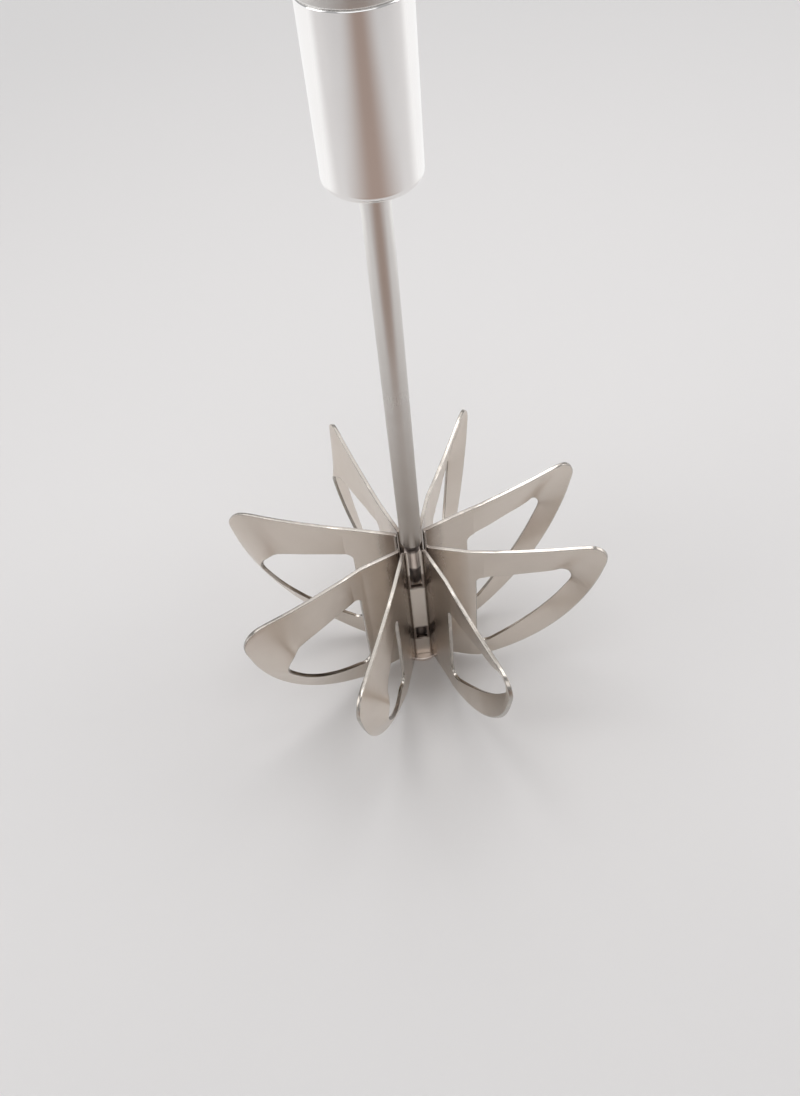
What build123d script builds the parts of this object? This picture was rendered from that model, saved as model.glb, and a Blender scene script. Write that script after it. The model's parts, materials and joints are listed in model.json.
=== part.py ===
# Battery milk frother with a bladed whisk head on a long steel shaft.
# Millimetres, +Z up along the shaft. The origin is on the axis at the shoulder
# where the straight grip starts; the nose, shaft and whisk hang below it.
import os
from math import asin, atan2, cos, pi, radians, sin

from build123d import *

# Fits between pieces, and how far a cutting shape stands clear of what it cuts
SEAT_CLEARANCE = 0.05
RUNNING_CLEARANCE = 0.05
SLIDING_CLEARANCE = 0.1
STOP_GAP = 0.1
CUT_MARGIN = 1.0

# Whisk head: sheets bent to channels round a core, with a windowed blade at each side.
# Radii are measured out along a blade, drops down from the blade tips.
HEAD_RADIUS = 40.0
BLADE_SHEET = 0.8
BLADE_HEIGHT = 41.5
BLADE_SPLAY = 20.0
BLADE_INNER_RADIUS = 3.3
BLADE_FOOT_RADIUS = 14.0
BLADE_TIP_RADIUS = 4.0
BLADE_ROOT_DROP = 1.8
BLADE_STRIP_HEIGHT = 9.5
BLADE_EDGE_SAGITTA = 5.7
WINDOW_INNER_RADIUS = 13.6
WINDOW_CORNER_RADIUS = 1.6
WINDOW_TIP_RADIUS = 3.0
WEB_WIDTH = 4.2
WEB_BEND_RADIUS = 1.0
UPPER_WEB_DROP = 14.2
UPPER_WEB_HEIGHT = 15.9
LOWER_WEB_DROP = 34.4

# Leg below each window, and the cupping of the blade round its window: from the root
# of the top strip to the foot of the leg, the window's edge is set to one side
LEG_WIDTH = 4.8
LEG_FOOT_LENGTH = 6.0
CUP_DEPTH = 3.2
CUP_STATIONS = 22

# Hand-set fold of each blade's loop away from the middle of its channel, in degrees,
# as (clockwise blade, anticlockwise blade) for each channel round from +X
LOOP_SETS = ((-8.0, -2.0), (8.0, -3.0), (-1.5, 9.0), (1.5, -4.5))
FOLD_INSET = 1.4
FOLD_RADIUS = 5.0
FOLD_TAB = 0.8

# Core of the whisk head: neck, waist and shank, closed by a foot disc
NECK_TOP_DIAMETER = 3.2
NECK_TOP_DROP = 3.6
NECK_FOOT_DIAMETER = 3.8
NECK_FOOT_DROP = 9.8
WAIST_DIAMETER = 2.6
WAIST_FOOT_DROP = 19.0
CORE_DIAMETER = 4.5
CORE_SPIGOT_DIAMETER = 2.0
CORE_SPIGOT_LENGTH = 10.0
FOOT_DIAMETER = 9.2
FOOT_THICKNESS = 1.3
FOOT_EDGE_ROUND = 0.5

# Shaft and drive line
SHAFT_DIAMETER = 4.5
SHAFT_EXPOSED = 78.0
SHAFT_END_DROP = 1.9
SHAFT_EDGE_CHAMFER = 0.25
COUPLING_DIAMETER = 9.0
COUPLING_DEPTH = 17.0
COUPLING_GRIP = 9.0
COUPLING_WEB = 1.0
GRUB_SCREW_DIAMETER = 2.4
MOTOR_SHAFT_DIAMETER = 2.3
MOTOR_SHAFT_TOP_DROP = 1.25

# Nose: polished collar pressed on the foot of a tapered cone
COLLAR_DIAMETER = 14.2
COLLAR_WALL = 1.0
COLLAR_LENGTH = 24.0
COLLAR_END_ROUND = 1.5
COLLAR_MOUTH_DIAMETER = 7.2
CONE_LENGTH = 24.0
CONE_WALL = 2.0
CONE_SPIGOT_WALL = 1.2
CONE_SPIGOT_HEIGHT = 4.0
COLLAR_SEAT_LENGTH = 7.0
COLLAR_SEAT_WALL = 0.95
BUSH_DIAMETER = 9.0
BUSH_LENGTH = 7.8
SEAL_THICKNESS = 2.1

# Grip tube
GRIP_DIAMETER = 26.0
GRIP_WALL = 1.0

# Motor
MOUNT_THICKNESS = 3.0
CAN_DIAMETER = 22.0
CAN_WALL = 0.8
CAN_LENGTH = 26.0
CAN_BOSS_DIAMETER = 8.0
CAN_BOSS_HEIGHT = 2.4
BELL_THICKNESS = 5.0
BELL_SPIGOT_HEIGHT = 2.0
BELL_SPIGOT_WALL = 1.6
MAGNET_THICKNESS = 0.8
MAGNET_ARC = 120.0
MAGNET_LENGTH = 16.0
AIR_GAP = 0.4
ARMATURE_LENGTH = 14.0
ARMATURE_POLES = 3
POLE_SLOT_WIDTH = 2.4
POLE_NECK_WIDTH = 4.2
POLE_SHOE_THICKNESS = 1.8
COMMUTATOR_DIAMETER = 6.0
COMMUTATOR_LENGTH = 4.0
MOTOR_SCREW_CIRCLE = 16.0
MOTOR_SCREW_DIAMETER = 2.4
MOTOR_SCREW_HEAD = 4.2
MOTOR_SCREW_HEAD_HEIGHT = 1.6
TERMINAL_HEIGHT = 3.0
TERMINAL_WIDTH = 3.0
TERMINAL_SHEET = 0.5

# Cells and their carrier
CELL_DIAMETER = 10.5
CELL_LENGTH = 44.5
CELL_NUB_DIAMETER = 3.8
CELL_NUB_HEIGHT = 0.8
CELL_EDGE_ROUND = 0.4
CELL_PLAY = 0.2
CARRIER_WALL = 1.3
CARRIER_SKIRT_HEIGHT = 4.0
CARRIER_SKIRT_WALL = 1.8
CARRIER_FLANGE = 2.0
CARRIER_TOP_DROP = 2.0
CONTACT_SHEET = 0.5
CONTACT_TAB_WIDTH = 3.0
CONTACT_TAB_INSET = 1.0
STRIP_WIDTH = 3.0
STRIP_SHEET = 0.4

# End cap with its push button
CAP_HEIGHT = 10.5
CAP_SPIGOT_LENGTH = 9.0
CAP_SPIGOT_WALL = 2.5
CAP_ROOF = 4.0
CAP_CROWN_ROUND = 2.5
CAP_STEP = 0.6
CAP_CAVITY_WALL = 2.1
CAP_GROOVE_RADIUS = 1.2
CAP_GROOVE_DEPTH = 0.5
CAP_GROOVE_HEIGHT = 3.6
CAP_RING_WIRE = 1.3
BUTTON_DIAMETER = 13.0
BUTTON_PLAY = 0.2
BUTTON_PROUD = 1.2
BUTTON_ROUND = 1.0
BUTTON_DISH_DIAMETER = 10.0
BUTTON_DISH_DEPTH = 0.5
BUTTON_TRAVEL = 1.5
BUTTON_FLANGE = 2.0
BUTTON_FLANGE_THICKNESS = 1.5
BUTTON_STEM_DIAMETER = 4.0
BOOT_SHEET = 0.6
BOOT_FOOT = 1.2
BOOT_SHELF_HEIGHT = 2.0
BRIDGE_DIAMETER = 18.0

# Radii worked out from the diameters
shaft_radius = SHAFT_DIAMETER / 2
motor_shaft_radius = MOTOR_SHAFT_DIAMETER / 2
collar_radius = COLLAR_DIAMETER / 2
collar_bore_radius = collar_radius - COLLAR_WALL
grip_radius = GRIP_DIAMETER / 2
grip_bore_radius = grip_radius - GRIP_WALL
can_radius = CAN_DIAMETER / 2
can_bore_radius = can_radius - CAN_WALL
core_radius = CORE_DIAMETER / 2
web_middle_radius = core_radius + SEAT_CLEARANCE + BLADE_SHEET / 2
fold_radius = WINDOW_INNER_RADIUS - FOLD_INSET
cap_radius = grip_radius - CAP_STEP
button_radius = BUTTON_DIAMETER / 2
carrier_bore_radius = CELL_DIAMETER / 2 + CELL_PLAY
carrier_tube_radius = carrier_bore_radius + CARRIER_WALL

# Heights along the axis, from the shoulder down to the whisk
collar_top = -CONE_LENGTH
collar_end = collar_top - COLLAR_LENGTH
blade_top = collar_end - SHAFT_EXPOSED
blade_foot = blade_top - BLADE_HEIGHT
shaft_end = blade_top - SHAFT_END_DROP
core_foot = blade_foot - SEAT_CLEARANCE
foot_disc_foot = core_foot - FOOT_THICKNESS

# Heights up from the shoulder through the motor and the cells to the button
mount_foot = CONE_SPIGOT_HEIGHT
can_foot = mount_foot + MOUNT_THICKNESS
can_top = can_foot + CAN_LENGTH
bell_top = can_top + BELL_THICKNESS
carrier_floor = bell_top + CARRIER_SKIRT_HEIGHT
contact_foot = carrier_floor + CARRIER_FLANGE
lower_cell_foot = contact_foot + CONTACT_SHEET
upper_cell_foot = lower_cell_foot + CELL_LENGTH
cells_top = upper_cell_foot + CELL_LENGTH
carrier_top = cells_top - CARRIER_TOP_DROP
ring_contact_top = carrier_top + CONTACT_SHEET
cap_spigot_foot = ring_contact_top + STOP_GAP
grip_top = cap_spigot_foot + CAP_SPIGOT_LENGTH
cap_foot = grip_top + STOP_GAP
cap_top = cap_foot + CAP_HEIGHT
cap_ceiling = cap_top - CAP_ROOF
flange_top = cap_ceiling - STOP_GAP
flange_foot = flange_top - BUTTON_FLANGE_THICKNESS
boot_shelf = cap_foot + BOOT_SHELF_HEIGHT
bridge_foot = cells_top + BUTTON_TRAVEL + STOP_GAP
bridge_rim_foot = ring_contact_top + BUTTON_TRAVEL + STOP_GAP
can_centre = can_foot + CAN_LENGTH / 2
coupling_web_foot = -COUPLING_DEPTH
coupling_foot = coupling_web_foot - COUPLING_GRIP
coupling_web_top = coupling_web_foot + COUPLING_WEB
coupling_top = coupling_web_top + COUPLING_GRIP
shaft_top = coupling_web_foot - STOP_GAP
motor_shaft_foot = coupling_web_top + STOP_GAP
motor_shaft_top = bell_top - MOTOR_SHAFT_TOP_DROP


def ring(outer, inner, foot, top):
    """Plain tube about the axis between two heights."""
    return Pos(0, 0, foot) * extrude(Circle(outer) - Circle(inner), top - foot)


def rod(radius, foot, top):
    """Plain cylinder about the axis between two heights."""
    return Pos(0, 0, foot) * extrude(Circle(radius), top - foot)


def turned(*corners):
    """Solid of revolution about the axis from (radius, height) corners."""
    return revolve(make_face(Plane.XZ * Polyline(*corners, close=True)), Axis.Z)


def block(x_range, y_range, z_range):
    """Rectangular block between two corners."""
    low, high = zip(x_range, y_range, z_range)
    size = [b - a for a, b in zip(low, high)]
    centre = [(a + b) / 2 for a, b in zip(low, high)]
    return Pos(*centre) * Box(*size)


def round_edges(solid, height, radius, round_by):
    """Round the circular edges of one radius that lie at one height."""
    edges = [
        edge
        for edge in solid.edges().filter_by(GeomType.CIRCLE)
        if abs(edge.radius - radius) < 1e-4 and abs(edge.center().Z - height) < 1e-4
    ]
    return fillet(edges, round_by)


def s_curve(top, foot):
    """Two equal tangent arcs, upright at both ends, between two (radius, height) points."""
    middle = ((top[0] + foot[0]) / 2, (top[1] + foot[1]) / 2)
    upper = TangentArc(top, middle, tangent=(0, -1))
    lower = TangentArc(middle, foot, tangent=upper % 1)
    return upper, lower


def edge_circle():
    """Centre and radius of the circle that a blade's outer edge follows."""
    foot = Vector(BLADE_FOOT_RADIUS, -BLADE_HEIGHT)
    shoulder = Vector(HEAD_RADIUS, -BLADE_TIP_RADIUS)
    chord = shoulder - foot
    radius = (chord.length**2 / 4 + BLADE_EDGE_SAGITTA**2) / (2 * BLADE_EDGE_SAGITTA)
    inward = Vector(-chord.Y, chord.X).normalized()
    return (foot + shoulder) / 2 + inward * (radius - BLADE_EDGE_SAGITTA), radius


def edge_point(angle, inset=0):
    """Point on or inside the edge circle at an angle in radians."""
    centre, radius = edge_circle()
    return centre + Vector(cos(angle), sin(angle)) * (radius - inset)


def leg_foot_angle():
    """Angle on the edge circle at which the cupped part of the leg ends."""
    centre, radius = edge_circle()
    foot = atan2(-BLADE_HEIGHT - centre.Y, BLADE_FOOT_RADIUS - centre.X)
    return foot + LEG_FOOT_LENGTH / radius


def loop_outline():
    """Outline of one blade outside its fold, in (radius, height from the blade tips)."""
    start = fold_radius + 0.75 * FOLD_TAB
    rise = (WINDOW_INNER_RADIUS + WINDOW_CORNER_RADIUS, -BLADE_ROOT_DROP)
    tip = (HEAD_RADIUS - BLADE_TIP_RADIUS, 0)
    shoulder = (HEAD_RADIUS, -BLADE_TIP_RADIUS)
    foot = (BLADE_FOOT_RADIUS, -BLADE_HEIGHT)
    lines = [
        TangentArc(rise, tip, tangent=(1, 0)),
        RadiusArc(tip, shoulder, BLADE_TIP_RADIUS),
        SagittaArc(shoulder, foot, BLADE_EDGE_SAGITTA),
        Polyline(foot, (start, -BLADE_HEIGHT), (start, -BLADE_ROOT_DROP), rise),
    ]
    return make_face(lines)


def loop_window():
    """D-shaped window of one blade, its lower edge following the outer edge."""
    centre, radius = edge_circle()
    width = HEAD_RADIUS - WINDOW_INNER_RADIUS
    top = -BLADE_ROOT_DROP / 2 - BLADE_STRIP_HEIGHT
    panel_centre = (WINDOW_INNER_RADIUS + width / 2, top - BLADE_HEIGHT / 2)
    panel = Pos(*panel_centre) * Rectangle(width, BLADE_HEIGHT)
    window = panel & Pos(centre.X, centre.Y) * Circle(radius - LEG_WIDTH)
    window = fillet(window.vertices().sort_by(Axis.X)[-1], WINDOW_TIP_RADIUS)
    return fillet(window.vertices().group_by(Axis.X)[0], WINDOW_CORNER_RADIUS)


def cupped_zone():
    """Part of the flat blade that the cupped strip, tip and leg take the place of."""
    start = WINDOW_INNER_RADIUS + WINDOW_CORNER_RADIUS
    rim_end = edge_point(leg_foot_angle())
    window_end = loop_window().face().outer_wire().closest_points(rim_end)[0]
    way = (window_end - rim_end).normalized()
    inner = window_end + way * CUT_MARGIN
    outer = rim_end - way * HEAD_RADIUS
    far = 2 * HEAD_RADIUS
    corners = ((far, outer.Y), (far, CUT_MARGIN), (start, CUT_MARGIN), (start, -BLADE_HEIGHT / 2))
    return make_face(Polyline(inner, outer, *corners, close=True))


def blade_rim():
    """Outer edge of one blade from the root of its top strip round the tip to the leg's foot."""
    rise = (WINDOW_INNER_RADIUS + WINDOW_CORNER_RADIUS, -BLADE_ROOT_DROP)
    tip = (HEAD_RADIUS - BLADE_TIP_RADIUS, 0)
    shoulder = Vector(HEAD_RADIUS, -BLADE_TIP_RADIUS)
    centre, _ = edge_circle()
    foot_angle = leg_foot_angle()
    shoulder_angle = atan2(shoulder.Y - centre.Y, shoulder.X - centre.X)
    middle = edge_point((foot_angle + shoulder_angle) / 2)
    lines = [
        TangentArc(rise, tip, tangent=(1, 0)),
        RadiusArc(tip, shoulder, BLADE_TIP_RADIUS),
        ThreePointArc(shoulder, middle, edge_point(foot_angle)),
    ]
    return Wire(lines)


def cupped_blade():
    """Strip, tip and leg of one blade, with the window's edge cupped to +Y."""
    rim = blade_rim()
    window = loop_window().face().outer_wire()
    sections = []
    for station in range(CUP_STATIONS):
        share = station / (CUP_STATIONS - 1)
        outer = rim.position_at(share)
        inner = window.closest_points(outer)[0]
        width = (inner - outer).length
        tilt = asin(CUP_DEPTH * abs(sin(pi * share)) / width)
        across = Vector(inner.X - outer.X, 0, inner.Y - outer.Y) / width
        side = Vector(0, 1, 0)
        way = across * cos(tilt) + side * sin(tilt)
        plane = Plane(Vector(outer.X, 0, outer.Y), x_dir=way, z_dir=across.cross(side))
        sections.append(plane * Rectangle(width, BLADE_SHEET, align=(Align.MIN, Align.CENTER)))
    return loft(sections)


def blade_loop():
    """One blade outside its fold, standing along +X."""
    flat = loop_outline() - loop_window() - cupped_zone()
    return extrude(Plane.XZ * flat, BLADE_SHEET / 2, both=True) + cupped_blade()


def side_of_channel(side, loop_set):
    """Middle line of one side of a bent sheet in plan: web corner, fold, end of the tab."""
    root_way = Vector(1, 0).rotate(Axis.Z, side * BLADE_SPLAY)
    loop_way = Vector(1, 0).rotate(Axis.Z, side * (BLADE_SPLAY + loop_set))
    corner = Vector(web_middle_radius, side * WEB_WIDTH / 2)
    fold = corner + root_way * (fold_radius - corner.dot(root_way))
    return corner, fold, fold + loop_way * FOLD_TAB


def web_zone(top, foot):
    """Region round a channel's web and its two bends between two heights."""
    reach = web_middle_radius + BLADE_INNER_RADIUS / 2
    half = WEB_WIDTH / 2 + BLADE_SHEET + BLADE_INNER_RADIUS / 2
    return block((0, reach), (-half, half), (foot, top))


def channel(sets):
    """Root of one sheet: two upright plates joined by two webs, with a tab past each fold."""
    clockwise = side_of_channel(-1, sets[0])
    anticlockwise = side_of_channel(1, sets[1])
    radii = [FOLD_RADIUS, WEB_BEND_RADIUS, WEB_BEND_RADIUS, FOLD_RADIUS]
    line = FilletPolyline(*reversed(clockwise), *anticlockwise, radius=radii)
    band = make_face(offset(line, BLADE_SHEET / 2, kind=Kind.ARC, side=Side.BOTH))
    wall = Pos(0, 0, -BLADE_HEIGHT) * extrude(band, BLADE_HEIGHT - BLADE_ROOT_DROP)
    beyond = -BLADE_HEIGHT - CUT_MARGIN
    keep = web_zone(-UPPER_WEB_DROP, -UPPER_WEB_DROP - UPPER_WEB_HEIGHT)
    keep += web_zone(-LOWER_WEB_DROP, beyond)
    breadth = (-BLADE_INNER_RADIUS, BLADE_INNER_RADIUS)
    plate = block((BLADE_INNER_RADIUS, WINDOW_INNER_RADIUS), breadth, (beyond, 0))
    for side in (-1, 1):
        keep += Rot(0, 0, side * BLADE_SPLAY) * plate
    return wall & keep


def blade_pair(sets):
    """One stamped sheet with its two blades, its channel opening to +X."""
    pair = channel(sets)
    for side, loop_set in zip((-1, 1), sets):
        _, fold, _ = side_of_channel(side, loop_set)
        turn = Rot(0, 0, side * (BLADE_SPLAY + loop_set))
        pair += Pos(fold.X, fold.Y) * turn * Pos(-fold_radius, 0, 0) * blade_loop()
    return Pos(0, 0, blade_top) * pair


def blade_pairs():
    """The bent sheets, evenly spaced round the core."""
    step = 360 / len(LOOP_SETS)
    return {
        f"blade_pair_{i + 1}": Rot(0, 0, step * i) * blade_pair(sets)
        for i, sets in enumerate(LOOP_SETS)
    }


def hub_pieces():
    """Core that carries the blades, and the foot disc riveted under it."""
    spigot = CORE_SPIGOT_DIAMETER / 2
    waist = WAIST_DIAMETER / 2
    neck_top = blade_top - NECK_TOP_DROP
    neck_foot = blade_top - NECK_FOOT_DROP
    waist_foot = blade_top - WAIST_FOOT_DROP
    core = turned(
        (0, foot_disc_foot),
        (spigot, foot_disc_foot),
        (spigot, core_foot),
        (core_radius, core_foot),
        (core_radius, waist_foot),
        (waist, waist_foot),
        (waist, neck_foot),
        (NECK_FOOT_DIAMETER / 2, neck_foot),
        (NECK_TOP_DIAMETER / 2, neck_top),
        (spigot, neck_top),
        (spigot, shaft_end + CORE_SPIGOT_LENGTH),
        (0, shaft_end + CORE_SPIGOT_LENGTH),
    )
    foot_radius = FOOT_DIAMETER / 2
    disc = rod(foot_radius, foot_disc_foot, core_foot)
    disc = round_edges(disc, foot_disc_foot, foot_radius, FOOT_EDGE_ROUND)
    disc -= rod(spigot + SEAT_CLEARANCE, foot_disc_foot, core_foot)
    return {"hub_core": core, "hub_foot": disc}


def shaft_pieces():
    """Whisk shaft, its coupling to the motor and the coupling's grub screws."""
    shaft = rod(shaft_radius, shaft_end, shaft_top)
    ends = shaft.edges().filter_by(GeomType.CIRCLE)
    shaft = chamfer(ends, SHAFT_EDGE_CHAMFER)
    socket = CORE_SPIGOT_DIAMETER / 2 + SEAT_CLEARANCE
    shaft -= rod(socket, shaft_end, shaft_end + CORE_SPIGOT_LENGTH + STOP_GAP)
    outer = COUPLING_DIAMETER / 2
    coupling = rod(outer, coupling_foot, coupling_top)
    coupling -= rod(shaft_radius + SEAT_CLEARANCE, coupling_foot, coupling_web_foot)
    coupling -= rod(motor_shaft_radius + SEAT_CLEARANCE, coupling_web_top, coupling_top)
    lower = (coupling_foot + coupling_web_foot) / 2
    upper = (coupling_web_top + coupling_top) / 2
    screw = GRUB_SCREW_DIAMETER / 2
    screws = []
    for height, core in ((lower, shaft_radius), (upper, motor_shaft_radius)):
        seat = core + 2 * SEAT_CLEARANCE
        along = Pos(seat, 0, height) * Rot(0, 90, 0)
        screws.append(along * extrude(Circle(screw), outer - seat))
        hole = extrude(Circle(screw + SEAT_CLEARANCE), outer + CUT_MARGIN)
        coupling -= Pos(0, 0, height) * Rot(0, 90, 0) * hole
    return {
        "whisk_shaft": shaft,
        "shaft_coupling": coupling,
        "coupling_screws": Part() + screws,
    }


def nose_pieces():
    """Tapered cone, polished collar and the shaft's bearing and seal inside it."""
    seat_radius = collar_bore_radius - SEAT_CLEARANCE
    seat_bore = seat_radius - COLLAR_SEAT_WALL
    seat_foot = collar_top - COLLAR_SEAT_LENGTH
    spigot_radius = grip_bore_radius - SEAT_CLEARANCE
    spigot_bore = spigot_radius - CONE_SPIGOT_WALL
    outer = s_curve((grip_radius, 0), (collar_radius, collar_top))
    inner = s_curve((spigot_bore, -CONE_WALL), (seat_bore, collar_top + CONE_WALL))
    outline = [
        *outer,
        Polyline((collar_radius, collar_top), (seat_radius, collar_top), (seat_radius, seat_foot)),
        Line((seat_radius, seat_foot), (seat_bore, seat_foot)),
        Line((seat_bore, seat_foot), (seat_bore, collar_top + CONE_WALL)),
        *inner,
        Polyline(
            (spigot_bore, -CONE_WALL),
            (spigot_bore, CONE_SPIGOT_HEIGHT),
            (spigot_radius, CONE_SPIGOT_HEIGHT),
            (spigot_radius, 0),
            (grip_radius, 0),
        ),
    ]
    cone = revolve(make_face([Plane.XZ * line for line in outline]), Axis.Z)
    collar_floor = collar_end + COLLAR_WALL
    collar = rod(collar_radius, collar_end, collar_top)
    collar = round_edges(collar, collar_end, collar_radius, COLLAR_END_ROUND)
    collar -= rod(collar_bore_radius, collar_floor, collar_top)
    collar -= rod(COLLAR_MOUTH_DIAMETER / 2, collar_end, collar_floor)
    bush_radius = BUSH_DIAMETER / 2
    seal_top = collar_floor + SEAL_THICKNESS
    bush_foot = seal_top + SEAT_CLEARANCE
    bush_top = bush_foot + BUSH_LENGTH
    running_bore = shaft_radius + RUNNING_CLEARANCE
    return {
        "nose_cone": cone,
        "nose_collar": collar,
        "bush_carrier": ring(seat_radius, bush_radius + SEAT_CLEARANCE, collar_floor, bush_top),
        "shaft_bush": ring(bush_radius, running_bore, bush_foot, bush_top),
        "shaft_seal": ring(bush_radius, running_bore, collar_floor, seal_top),
    }


def screw_places():
    """Positions of the two motor screws."""
    reach = MOTOR_SCREW_CIRCLE / 2
    return [Pos(0, reach, 0), Pos(0, -reach, 0)]


def motor_pieces():
    """Motor can, magnets, rotor, end bell and the disc and screws that hold it."""
    screw = MOTOR_SCREW_DIAMETER / 2
    screw_hole = screw + SEAT_CLEARANCE
    boss = CAN_BOSS_DIAMETER / 2
    shaft_hole = motor_shaft_radius + RUNNING_CLEARANCE
    mount = ring(grip_bore_radius - SEAT_CLEARANCE, boss + SEAT_CLEARANCE, mount_foot, can_foot)
    can = rod(can_radius, can_foot, can_top) - rod(can_bore_radius, can_foot + CAN_WALL, can_top)
    can += rod(boss, can_foot - CAN_BOSS_HEIGHT, can_foot)
    can -= rod(shaft_hole, can_foot - CAN_BOSS_HEIGHT, can_foot + CAN_WALL)
    screws = []
    for place in screw_places():
        drill = place * rod(screw_hole, mount_foot, can_foot + CAN_WALL)
        mount -= drill
        can -= drill
        head = rod(MOTOR_SCREW_HEAD / 2, mount_foot - MOTOR_SCREW_HEAD_HEIGHT, mount_foot)
        screws.append(place * (head + rod(screw, mount_foot, can_foot + CAN_WALL)))
    magnet_outer = can_bore_radius - SEAT_CLEARANCE
    magnet_inner = magnet_outer - MAGNET_THICKNESS
    tube = ring(
        magnet_outer, magnet_inner, can_centre - MAGNET_LENGTH / 2, can_centre + MAGNET_LENGTH / 2
    )
    gap_reach = magnet_outer + CUT_MARGIN
    gap_half = magnet_outer * sin(radians(90 - MAGNET_ARC / 2))
    gap = block((-gap_reach, gap_reach), (-gap_half, gap_half), (can_foot, can_top))
    core = magnet_inner - AIR_GAP
    armature_foot = can_centre - ARMATURE_LENGTH / 2
    armature_top = can_centre + ARMATURE_LENGTH / 2
    bore = motor_shaft_radius + SEAT_CLEARANCE
    armature = ring(core, core - POLE_SHOE_THICKNESS, armature_foot, armature_top)
    spoke = block(
        (0, core - POLE_SHOE_THICKNESS / 2),
        (-POLE_NECK_WIDTH / 2, POLE_NECK_WIDTH / 2),
        (armature_foot, armature_top),
    )
    opening = block(
        (core - POLE_SHOE_THICKNESS - CUT_MARGIN, core + CUT_MARGIN),
        (-POLE_SLOT_WIDTH / 2, POLE_SLOT_WIDTH / 2),
        (armature_foot, armature_top),
    )
    pitch = 360 / ARMATURE_POLES
    for pole in range(ARMATURE_POLES):
        armature += Rot(0, 0, pitch * pole) * spoke
        armature -= Rot(0, 0, pitch * (pole + 0.5)) * opening
    armature -= rod(bore, armature_foot, armature_top)
    commutator_foot = armature_top + STOP_GAP
    bell = rod(can_radius, can_top, bell_top)
    spigot = can_bore_radius - SEAT_CLEARANCE
    bell += ring(spigot, spigot - BELL_SPIGOT_WALL, can_top - BELL_SPIGOT_HEIGHT, can_top)
    bell -= rod(shaft_hole, can_top, motor_shaft_top + STOP_GAP)
    return {
        "motor_mount": mount,
        "motor_can": can,
        "motor_screws": Part() + screws,
        "motor_magnets": tube - gap,
        "motor_armature": armature,
        "commutator": ring(
            COMMUTATOR_DIAMETER / 2, bore, commutator_foot, commutator_foot + COMMUTATOR_LENGTH
        ),
        "motor_shaft": rod(motor_shaft_radius, motor_shaft_foot, motor_shaft_top),
        "motor_end_bell": bell,
    }


def cell(foot):
    """One dry cell with its nub upwards."""
    shoulder = foot + CELL_LENGTH - CELL_NUB_HEIGHT
    radius = CELL_DIAMETER / 2
    body = rod(radius, foot, shoulder)
    body = fillet(body.edges().filter_by(GeomType.CIRCLE), CELL_EDGE_ROUND)
    return body + rod(CELL_NUB_DIAMETER / 2, shoulder, foot + CELL_LENGTH)


def power_pieces():
    """Cell carrier, cells and the contacts and strip that feed the motor."""
    flange_radius = grip_bore_radius - SEAT_CLEARANCE
    skirt = can_radius - CARRIER_SKIRT_WALL
    carrier = ring(carrier_tube_radius, carrier_bore_radius, contact_foot, carrier_top)
    carrier += ring(can_radius, skirt, bell_top, carrier_floor)
    carrier += rod(flange_radius, carrier_floor, contact_foot)
    carrier += ring(flange_radius, carrier_bore_radius, carrier_top - CARRIER_FLANGE, carrier_top)
    strip_inner = carrier_tube_radius + SEAT_CLEARANCE
    strip_x = (strip_inner, strip_inner + STRIP_SHEET)
    strip_y = (-STRIP_WIDTH / 2, STRIP_WIDTH / 2)
    strip_foot = bell_top + STOP_GAP
    carrier -= block(
        (strip_x[0], strip_x[1] + SEAT_CLEARANCE),
        (strip_y[0] - SEAT_CLEARANCE, strip_y[1] + SEAT_CLEARANCE),
        (carrier_floor, carrier_top),
    )
    tab_outer = -carrier_bore_radius + CONTACT_TAB_INSET
    tab_x = (tab_outer, tab_outer + CONTACT_SHEET)
    tab_y = (-CONTACT_TAB_WIDTH / 2, CONTACT_TAB_WIDTH / 2)
    carrier -= block(
        (tab_x[0] - SEAT_CLEARANCE, tab_x[1] + SEAT_CLEARANCE),
        (tab_y[0] - SEAT_CLEARANCE, tab_y[1] + SEAT_CLEARANCE),
        (carrier_floor, contact_foot),
    )
    plate = rod(carrier_bore_radius - CELL_PLAY, contact_foot, lower_cell_foot)
    plate += block(tab_x, tab_y, (strip_foot, contact_foot))
    terminal_y = (-TERMINAL_WIDTH / 2, TERMINAL_WIDTH / 2)
    terminal_z = (bell_top, bell_top + TERMINAL_HEIGHT)
    feed_x = strip_x[0] - SEAT_CLEARANCE
    return_x = tab_x[0] - SEAT_CLEARANCE
    terminals = [
        block((feed_x - TERMINAL_SHEET, feed_x), terminal_y, terminal_z),
        block((return_x - TERMINAL_SHEET, return_x), terminal_y, terminal_z),
    ]
    ring_outer = BRIDGE_DIAMETER / 2
    return {
        "cell_carrier": carrier,
        "cell_lower": cell(lower_cell_foot),
        "cell_upper": cell(upper_cell_foot),
        "contact_plate": plate,
        "feed_strip": block(strip_x, strip_y, (strip_foot, carrier_top)),
        "motor_terminals": Part() + terminals,
        "ring_contact": ring(ring_outer, carrier_bore_radius, carrier_top, ring_contact_top),
    }


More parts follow.
